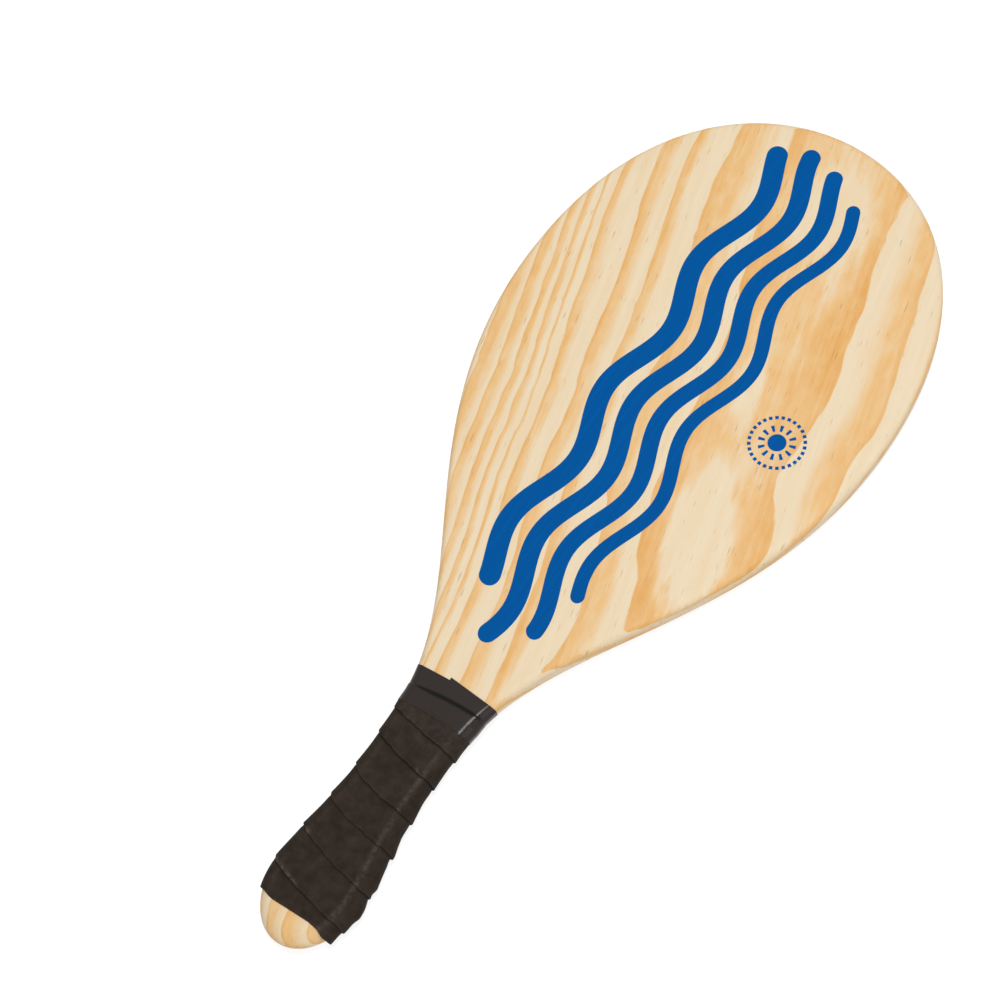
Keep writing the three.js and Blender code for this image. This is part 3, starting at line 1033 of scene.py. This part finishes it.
@dataclass
class GripTape:
    """The grip: one ribbon wound up the handle, each turn lying on the turn below.

    Turns are counted from the middle of the left side, over the back, the right side and the front.
    The lower edge climbs through measured places, as it was wound by hand. The ribbon is thinned
    towards its upper edge, so that the turn above lies down over it without a ridge.
    """

    handle: Handle = field(default_factory=Handle)
    finish: GrainedRubber = field(default_factory=GrainedRubber)
    tail_bottom: float = 109.3
    width: float = 21.0
    thickness: float = 0.75
    thin_edge: float = 0.1
    thinned: float = 6.0
    tail_turns: float = 0.45
    edge_round: float = 0.35
    seat: float = 0.04
    rise: float = 0.6
    bridge: float = 12.0
    laps: int = 7
    rows_a_lap: int = 132
    easing: float = 0.035
    edge_turns: Reals = (
        0, 1, 1.45, 1.6, 1.75, 1.9, 1.97, 2, 2.45, 2.6, 2.75, 2.9, 2.97, 3, 3.45, 3.6, 3.75, 3.9,
        3.97, 4, 4.45, 4.6, 4.75, 4.9, 4.97, 5, 5.45, 5.6, 5.75, 5.9, 5.97, 6, 6.45, 6.6, 6.75, 6.9,
        7.1)
    edge_heights: Reals = (
        -3.1, 13.0, 18.7, 19.5, 22, 25.4, 29.4, 30.2, 36.2, 37.1, 39.6, 43.8, 46.6, 47.3, 55.1,
        56.2, 57.5, 60.2, 64.2, 65, 71.6, 72.6, 73.6, 76.3, 80.5, 81.2, 89, 90.2, 91.9, 94.6, 97.2,
        98, 103.8, 104.7, 106.2, 108.4, 111)
    ripples: tuple[tuple[float, float], ...] = ((0.16, 41), (0.1, 97))
    slack_reach: float = 0.1
    slack_easing: float = 0.6
    slack_heights: Reals = (
        10, 20, 23.5, 25.5, 27.4, 31, 35, 38.5, 40, 41.3, 45, 49, 54, 55, 56.5, 61, 65, 71, 72.4,
        76, 82)
    slack: Reals = (
        0.2, 0.4, 0.5, 1.0, 1.8, 1.7, 0.8, 0.3, 0.9, 1.4, 1.1, 0.8, 0.4, 0.7, 1.1, 0.5, 0.1, 0.3,
        0.6, 0.4, 0)
    loose_below: float = 18.5
    # Painted shade below each turn's lower edge: its strength for each turn and its reach in mm.
    painted_shade_strengths: Reals = (0.35, 0.9, 0.35, 0.5, 0.85, 1.0, 1.0)
    painted_shade_reach: float = 0.55
    frays: tuple[tuple[float, float], ...] = ((1.79, 1.98), (2.87, 2.93), (5.62, 5.66))
    fray_ramp: float = 0.02
    # Between these heights the corners' wear and painted highlight fade to 0.3 of their strength.
    rub_and_sheen_ends: tuple[float, float] = (92, 108)
    dust_starts: tuple[float, float] = (98, 109)
    bottom_turns: Reals = (-0.07, 0, 0.25, 0.5, 0.56, 0.6, 0.66, 0.75, 0.88, 0.93, 1, 1.25)
    bottom_heights: Reals = (
        14.3, 14.4, 13.4, 11.9, 12.0, 13.6, 14.1, 13.7, 13.1, 14.3, 14.4, 13.4)
    bottom_easing: float = 0.015
    cut_turns: Reals = (-0.1, 0, 0.1, 0.25, 0.5, 0.65, 0.75, 0.9, 1, 1.1)
    cut_heights: Reals = (121.3, 120.5, 122.0, 123.8, 123.8, 124.0, 123.2, 121.3, 120.5, 122.0)

    def line(self, turns: np.ndarray) -> np.ndarray:
        """The ribbon's lower edge before it is trimmed: the measured places, and two ripples from
        the stretching, each h sin wt."""
        ripple = sum(height * np.sin(pace * turns) for height, pace in self.ripples)
        return eased(self.edge_turns, self.edge_heights, turns, self.easing) + ripple

    def bottom(self, turns: np.ndarray) -> np.ndarray:
        """The height of the trimmed edge at the butt."""
        return eased(self.bottom_turns, self.bottom_heights, np.mod(turns, 1), self.bottom_easing)

    def cut(self, turns: np.ndarray) -> np.ndarray:
        """The height of the square cut at the neck."""
        return eased(self.cut_turns, self.cut_heights, np.mod(turns, 1), self.easing)

    def winding(self, turns: np.ndarray) -> tuple[np.ndarray, np.ndarray]:
        """The ribbon's edges after some turns: the line and the line plus the width, trimmed.

        Args:
            turns: How many turns.
        Returns:
            The heights of the lower edge and of the upper.
        """
        line = self.line(turns)
        lower = np.minimum(np.maximum(line, self.bottom(turns)), self.tail_bottom)
        return lower, np.minimum(line + self.width, self.cut(turns))

    def thick(self, turns: np.ndarray, y: np.ndarray) -> np.ndarray:
        """The ribbon's thickness.

        Args:
            turns: How many turns up the ribbon.
            y: Height above the butt.
        Returns:
            The full thickness, falling straight to the thin upper edge over its last part, and
            halved along the tail, which is drawn tight.
        """
        left = (self.line(turns) + self.width - y) / self.thinned
        full = self.thin_edge + (self.thickness - self.thin_edge) * np.clip(left, 0, 1)
        return full * (1 - 0.5 * smoothstep(self.laps - self.tail_turns, self.laps, turns))

    def offset(self, turns: np.ndarray, y: np.ndarray) -> np.ndarray:
        """The under face's distance off the wood.

        From the lower edge up it falls as (1 - d / b)^1.3 towards the wood, and it stays over the
        turn below. The right side was wound less tightly. The tape stands off there by the measured
        slack, which is most at each turn's lower edge, and the first turn hangs down past the
        narrowing butt, where it stands off by 0.1 h^1.5 more, h being the way down from where it
        comes loose. Both are times exp(-(t / w)^2), t being the turns from that side's middle and w
        the slack's reach.

        Args:
            turns: How many turns up the ribbon.
            y: Height above the butt.
        Returns:
            The distance.
        """
        lower, _ = self.winding(turns)
        _, below = self.winding(turns - 1)
        bridging = self.rise * np.clip(1 - (y - lower) / self.bridge, 0, 1) ** 1.3
        lying = np.where(y < below, self.thick(turns - 1, y) + self.seat, 0)
        right_side = np.exp(-(((np.mod(turns, 1) - 0.5) / self.slack_reach) ** 2))
        slack = eased(self.slack_heights, self.slack, y, self.slack_easing) * right_side
        first_turn = np.exp(-(((turns - 0.5) / self.slack_reach) ** 2))
        loose = 0.1 * np.clip(self.loose_below - y, 0, None) ** 1.5 * first_turn
        second = smoothstep(0.9, 1.0, turns)
        return self.seat + slack + loose + second * np.maximum(bridging, lying)

    def build(self) -> bpy.types.Object:
        """Makes the wound ribbon, in place of its CAD node.

        Returns:
            The ribbon.
        """
        turns = np.linspace(0, self.laps, self.laps * self.rows_a_lap + 1)
        lower, upper = self.winding(turns)
        y = lower[:, None] + (upper - lower)[:, None] * width_shares(
            (0, 0.004, 0.01, 0.02), 0.045, 26)
        patches = ribbon_patches(
            self.handle, self.handle.left_side + turns, y, self.offset(turns[:, None], y),
            self.thick(turns[:, None], y), self.edge_round)
        # The first attribute is wear with painted highlight, the second painted shade below the
        # turns' edges.
        grip = make_piece("wound_grip_tape", patches, self.finish.material(),
                          {"wear_and_sheen": on_skin(self.wear_and_sheen(turns, y)),
                           "painted_shade": on_skin(self.painted_shade(turns, y))})
        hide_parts("grip_tape")
        return grip

    def wear_and_sheen(self, turns: np.ndarray, y: np.ndarray) -> np.ndarray:
        """How much wear, dust and painted highlight each point has.

        It is most where the faces turn into corners, as wear and a painted highlight on the
        rounding, less near the neck, where no palm reaches but dust lies. With d the way up from
        the turn's lower edge, 0.25 exp(-(d / 0.6)^2) is added along that edge as a painted
        highlight on its lip, and exp(-((d - 0.7) / 0.9)^2) where it has frayed.

        Args:
            turns: How many turns up the ribbon each row lies.
            y: The height of each row's columns.
        Returns:
            The wear, dust and painted highlight, from 0 to 1.
        """
        above = y - y[:, :1]
        frayed = sum(smoothstep(start, start + self.fray_ramp, turns)
                     * smoothstep(end, end - self.fray_ramp, turns) for start, end in self.frays)
        strip = frayed[:, None] * np.exp(-(((above - 0.7) / 0.9) ** 2))
        corner_rub_and_sheen = self.handle.rub_and_sheen(self.handle.left_side + turns)[:, None]
        rubbed_and_lit = corner_rub_and_sheen * (1 - 0.7 * smoothstep(*self.rub_and_sheen_ends, y))
        # The lower edge's lip gets a painted highlight.
        lower = 0.25 * np.exp(-((above / 0.6) ** 2))
        dust = 0.2 * smoothstep(*self.dust_starts, y)
        return np.clip(rubbed_and_lit + lower + strip + dust, 0, 1)

    def painted_shade(self, turns: np.ndarray, y: np.ndarray) -> np.ndarray:
        """How much painted shade lies on each point, just below the turn above it, where that
        turn's edge shades it.

        Args:
            turns: How many turns up the ribbon each row lies.
            y: The height of each row's columns.
        Returns:
            exp(-(d / w)^2), d being the way down from that turn's lower edge and w the shade's
            reach, times a strength that each turn has of its own.
        """
        edge, _ = self.winding(np.minimum(turns + 1, self.laps))
        far = 99.0
        below = np.where((turns + 1 <= self.laps)[:, None], edge[:, None] - y, far)
        strength = np.interp(turns, np.arange(self.laps), self.painted_shade_strengths)
        return strength[:, None] * np.exp(-((below / self.painted_shade_reach) ** 2))


@dataclass
class FinishingTape:
    """The vinyl tape at the neck: its lower half binds the grip's cut end, its upper half the bare
    wood."""

    grip: GripTape = field(default_factory=GripTape)
    finish: GlossVinyl = field(default_factory=GlossVinyl)
    width: float = 17.5
    thickness: float = 0.2
    edge_round: float = 0.08
    seat: float = 0.03
    laps: float = 1.25
    end_share: float = 0.6
    past_tail: float = 0.03
    rows: int = 260
    easing: float = 0.02
    edge_turns: Reals = (-1.3, -1, -0.87, -0.78, -0.6, -0.42, -0.28, -0.2, 0)
    edge_heights: Reals = (131.0, 131.8, 130.7, 130.3, 130.4, 130.9, 131.5, 131.6, 133.0)

    def build(self) -> bpy.types.Object:
        """Makes the flat spiral, in place of its CAD node.

        Returns:
            The spiral.
        """
        handle = self.grip.handle
        last = 1 + handle.front_start + self.end_share * (handle.front_end - handle.front_start)
        turns = np.linspace(0, self.laps, self.rows + 1)
        lap = last - self.laps + turns
        upper = eased(self.edge_turns, self.edge_heights, turns - self.laps, self.easing)
        share = width_shares((0, 0.003, 0.008, 0.015), 0.03, 70)
        y = upper[:, None] - self.width * (1 - share)
        offset = self.seat + self.ground(lap[:, None], y) + self.lift(turns)[:, None]
        thickness = np.full_like(y, self.thickness)
        patches = ribbon_patches(handle, lap, y, offset, thickness, self.edge_round)
        # The tape carries painted shade in its hollow.
        tape = make_piece("neck_finishing_tape", patches, self.finish.material(),
                          {"painted_shade": on_skin(self.hollow_shade(lap[:, None], y))})
        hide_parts("finishing_tape")
        return tape

    def ground(self, lap: np.ndarray, y: np.ndarray) -> np.ndarray:
        """How far what lies under the tape stands off the wood.

        That is the grip's over face up to its cut end. Above it the tape drops at once by a share
        of that height and comes down to the wood in a slope. Just past the grip's tail it eases
        from the tail's height to the turn before.

        Args:
            lap: How far round the handle, in laps.
            y: Height above the butt.
        Returns:
            The distance.
        """
        just_before_end = self.grip.laps - 1e-6
        past = np.mod(lap - self.grip.handle.left_side, 1)
        tail = self.grip_height(np.full_like(past, just_before_end), y)
        before = self.grip_height(self.grip.laps - 1 + past, y)
        return tail + (before - tail) * smoothstep(0.0, self.past_tail, past)

    def hollow_shade(self, lap: np.ndarray, y: np.ndarray) -> np.ndarray:
        """How much painted shade each point gets in the hollow above the grip's cut end.

        Args:
            lap: How far round the handle, in laps.
            y: Height above the butt.
        Returns:
            exp(-((y - c - 0.5) / w)^4), c being the height of the cut and w growing from 0.6 to 1.1
            away from the left side. The tape is drawn tight over both sides and gets no painted
            shade there.
        """
        turns = lap - self.grip.handle.left_side
        left = np.abs(np.mod(turns + 0.5, 1) - 0.5)
        wide = 0.6 + 0.5 * smoothstep(0.1, 0.2, left)
        faces = smoothstep(0.08, 0.13, left) * smoothstep(0.46, 0.41, left)
        return faces * np.exp(-(((y - self.grip.cut(turns) - 0.5) / wide) ** 4))

    def grip_height(self, turns: np.ndarray, y: np.ndarray) -> np.ndarray:
        """The grip's over face in its last turn, and the tape's slope above it.

        Args:
            turns: How many turns up the grip's ribbon.
            y: Height above the butt.
        Returns:
            The distance off the wood. Above the cut it is the cut's own, times a step down of 0.7
            over 1.3 mm and a slope (1 - d / 7)^1.6 for the rest, d being the way up from the cut.
        """
        _, end = self.grip.winding(turns)
        at = np.minimum(y, end)
        over = self.grip.offset(turns, at) + self.grip.thick(turns, at)
        step = 0.7 * smoothstep(end + 1.3, end, y)
        slope = 0.3 * np.clip(1 - (y - end) / 7.0, 0, 1) ** 1.6
        return over * np.where(y > end, step + slope, 1)

    def lift(self, turns: np.ndarray) -> np.ndarray:
        """How far the tape rides on its own first turn."""
        return smoothstep(0.96, 1.0, turns) * (self.thickness + self.seat)


def film_patches(x: np.ndarray, y: np.ndarray, film: float) -> list[np.ndarray]:
    """A thin slab of ink on the board's front face, half sunk in it, as one closed skin.

    Args:
        x: The outer face's points across, in rows whose cross product with the columns faces out.
        y: The same points' heights.
        film: How far the ink stands off the wood.
    Returns:
        The outer face, the hidden face and the four walls between them.
    """
    face = BOARD_THICKNESS / 2
    top = np.dstack([x, y, np.full_like(x, face + film)])
    low = np.dstack([x, y, np.full_like(x, face - film)])
    return [top, low[:, ::-1],
            np.stack([top[:, 0], low[:, 0]], axis=1), np.stack([low[:, -1], top[:, -1]], axis=1),
            np.stack([low[0], top[0]], axis=0), np.stack([top[-1], low[-1]], axis=0)]


@dataclass
class Print:
    """Blue ink on the blade's front face, which stands off it by its film."""

    finish: ScreenInk = field(default_factory=ScreenInk)
    film: float = 0.04
    crease: float = 30.0

    def piece(self, name: str, patches: list[np.ndarray]) -> bpy.types.Object:
        """Makes one printed piece from its patches."""
        return make_piece(name, patches, self.finish.material(), crease=self.crease)


@dataclass
class WavePrint(Print):
    """Blue waves along the blade: strokes that follow x = x0 + A sin(2 pi y / L), with round
    ends."""

    swing: float = 5.0
    wavelength: float = 76.0
    middles: Reals = (-20.5, -4.5, 10.0, 23.0)
    widths: Reals = (10.0, 9.0, 8.0, 6.5)
    starts: Reals = (176.0, 154.0, 166.0, 190.0)
    ends: Reals = (432.0, 438.0, 433.0, 421.0)
    steps: int = 200
    end_steps: int = 12

    def stroke(self, middle: float, width: float, start: float, end: float) -> list[np.ndarray]:
        """One stroke, laid square across its centre line.

        Args:
            middle: Where the wave swings about.
            width: How wide the stroke is.
            start: The height of its lower end.
            end: The height of its upper end.
        Returns:
            Its skin: as wide as the stroke or, near an end, as the chord of the circle that rounds
            it.
        """
        half = width / 2
        bend = half * (1 - np.cos(np.linspace(0, np.pi / 2, self.end_steps)))
        body = np.linspace(start + half, end - half, self.steps)[1:-1]
        y = np.concatenate([start + bend, body, end - bend[::-1]])
        from_end = np.clip(np.minimum(y - start, end - y), 0, half)
        chord = np.sqrt(np.clip(half**2 - (half - from_end) ** 2, 0, None))
        phase = 2 * np.pi * y / self.wavelength
        slope = self.swing * 2 * np.pi / self.wavelength * np.cos(phase)
        centre = middle + self.swing * np.sin(phase)
        out = chord[:, None] * np.linspace(1, -1, 5) / np.sqrt(1 + slope**2)[:, None]
        return film_patches(centre[:, None] + out, y[:, None] - out * slope[:, None], self.film)

    def build(self) -> bpy.types.Object:
        """Makes the strokes as one piece.

        Returns:
            The piece.
        """
        strokes = zip(self.middles, self.widths, self.starts, self.ends)
        patches = [patch for stroke in strokes for patch in self.stroke(*stroke)]
        return self.piece("printed_waves", patches)


@dataclass
class SunPrint(Print):
    """A small blue sun on the blade's right half: a disc and its rays inside a ring of dashes."""

    place: tuple[float, float] = (56.0, 300.0)
    disc: float = 4.2
    disc_steps: int = 40
    rays: int = 12
    ray_inner: float = 5.6
    ray_outer: float = 8.6
    ray_share: float = 0.36
    dashes: int = 28
    ring_inner: float = 11.6
    ring_outer: float = 13.2
    dash_share: float = 0.56
    mark_steps: int = 4

    def sector(self, inner: float, outer: float, start: float, sweep: float,
               steps: int) -> list[np.ndarray]:
        """A part of a ring round the sun's place, at x = r cos a and y = r sin a from it.

        Args:
            inner: Its inner radius.
            outer: Its outer radius.
            start: The angle where it starts.
            sweep: The angle that it covers.
            steps: How many steps that angle is cut into.
        Returns:
            Its skin, whose rows run out along r and whose columns run round along a.
        """
        radius = np.array([inner, (inner + outer) / 2, outer])[:, None]
        angle = (start + sweep * np.linspace(0, 1, steps + 1))[None]
        return film_patches(self.place[0] + radius * np.cos(angle),
                            self.place[1] + radius * np.sin(angle), self.film)

    def build(self) -> bpy.types.Object:
        """Makes the disc, the rays and the dashes as one piece.

        Returns:
            The piece.
        """
        top, low, _, _, _, wall = self.sector(0, self.disc, 0, 2 * np.pi, self.disc_steps)
        patches = [top, low, wall]
        for many, inner, outer, share in (
                (self.rays, self.ray_inner, self.ray_outer, self.ray_share),
                (self.dashes, self.ring_inner, self.ring_outer, self.dash_share)):
            pitch = 2 * np.pi / many
            for k in range(many):
                patches += self.sector(inner, outer, (k + 0.5 - share / 2) * pitch, share * pitch,
                                       self.mark_steps)
        return self.piece("printed_sun", patches)


@dataclass(frozen=True)
class SoftBox:
    """A soft box: where it hangs and its two sides, in metres, and its power in watts."""

    name: str
    place: tuple[float, float, float]
    sides: tuple[float, float]
    watts: float


def seen_directly(tree: Tree) -> Socket:
    """Tells what is looked at from what only lights the scene.

    Args:
        tree: The tree that asks.
    Returns:
        1 for rays from the camera, off a reflection or through glass, and 0 for all others.
    """
    path = add_node(tree, "LightPath").outputs
    seen = path["Is Camera Ray"]
    for kind in ("Is Glossy Ray", "Is Transmission Ray"):
        seen = add_node(tree, "Math", {"operation": "MAXIMUM"}, {0: seen, 1: path[kind]}).outputs[0]
    return seen


@dataclass
class Studio:
    """A pale floor, soft lamps and the camera at the photograph's angle."""

    distance: float = 900.0
    aim: tuple[float, float, float] = (-36.1, -11.0, 7.5)
    off_vertical: float = 25.6
    azimuth: float = -35.0
    roll: float = -21.5
    lens: float = 71.95
    sensor: float = 36.0
    sky: float = 0.25
    half_floor: float = 3.0
    boxes: tuple[SoftBox, ...] = (
        SoftBox("side_softbox", (1.5, -0.8, 1.3), (2.0, 2.0), 12.5),
        SoftBox("top_softbox", (0.02, 0.3, 1.65), (0.54, 0.6), 16.5))

    def camera(self) -> None:
        """Places the camera: back along its line of sight, then rolled about that line."""
        tilt, turn, roll = np.radians([self.off_vertical, self.azimuth, self.roll])
        back = np.array([np.sin(tilt) * np.cos(turn), np.sin(tilt) * np.sin(turn), np.cos(tilt)])
        up = np.array([0, 0, 1.0]) - back * back[2]
        up /= np.linalg.norm(up)
        right = np.cross(-back, up)
        rolled_right = right * np.cos(roll) + up * np.sin(roll)
        rolled_up = -right * np.sin(roll) + up * np.cos(roll)
        place = (np.array(self.aim) + self.distance * back) * MM
        data = bpy.data.cameras.new("camera")
        data.lens = self.lens
        data.sensor_width = self.sensor
        data.clip_start, data.clip_end = 0.01, 20
        camera = add_object("camera", data)
        turned = np.column_stack([rolled_right, rolled_up, back, place])
        camera.matrix_world = Matrix([*turned.tolist(), (0, 0, 0, 1)])
        bpy.context.scene.camera = camera

    def floor(self, height: float) -> None:
        """Lays the floor, white to the camera and darker in the racket's shade.

        Args:
            height: Where it lies, in metres.
        """
        material, tree = new_material("matt_white_paper")
        paper = add_node(tree, "BsdfDiffuse", {}, {"Color": linear("#F0F0F0")}).outputs[0]
        shaded = add_node(tree, "BsdfDiffuse", {}, {"Color": (0.3, 0.3, 0.3, 1)}).outputs[0]
        glow = add_node(tree, "Emission", {}, {"Strength": 0.84}).outputs[0]
        bright = add_node(tree, "AddShader", {}, {0: shaded, 1: glow}).outputs[0]
        both = add_node(tree, "MixShader", {}, {0: seen_directly(tree), 1: paper, 2: bright})
        add_node(tree, "OutputMaterial", {}, {"Surface": both.outputs[0]})
        mesh = bpy.data.meshes.new("studio_floor")
        half = self.half_floor
        corners = [(-half, -half, height), (half, -half, height),
                   (half, half, height), (-half, half, height)]
        mesh.from_pydata(corners, [], [(0, 1, 2, 3)])
        mesh.materials.append(material)
        add_object("studio_floor", mesh)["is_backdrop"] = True

    def lights(self) -> None:
        """Lights an even sky, which the camera and reflections see as white, and the soft boxes,
        which face the racket's middle."""
        world = bpy.data.worlds.new("studio_sky")
        world.use_nodes = True
        tree = world.node_tree
        tree.nodes.clear()
        strength = add_node(tree, "MapRange", {}, {
            "Value": seen_directly(tree), "To Min": self.sky, "To Max": 1.0}).outputs[0]
        sky = add_node(tree, "Background", {}, {"Color": (1, 1, 1, 1), "Strength": strength})
        add_node(tree, "OutputWorld", {}, {"Surface": sky.outputs[0]})
        bpy.context.scene.world = world
        for box in self.boxes:
            data = bpy.data.lights.new(box.name, "AREA")
            data.shape = "RECTANGLE"
            data.size, data.size_y = box.sides
            data.energy = box.watts
            lamp = add_object(box.name, data)
            lamp.location = box.place
            lamp.rotation_euler = (-Vector(box.place)).to_track_quat("-Z", "Y").to_euler()

    def build(self, height: float) -> None:
        """Makes the whole studio.

        Args:
            height: Where the floor lies, in metres.
        """
        self.camera()
        self.floor(height)
        self.lights()


def main() -> None:
    """Builds every piece and the studio."""
    logging.basicConfig(level=logging.INFO, format="%(name)s: %(message)s")
    bpy.context.scene.view_settings.view_transform = "Standard"
    grip = GripTape()
    for part in (BladeBoard(), grip, FinishingTape(grip=grip), WavePrint(), SunPrint()):
        part.build()
    Studio().build(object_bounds()[0][2])


if __name__ == "__main__":
    main()
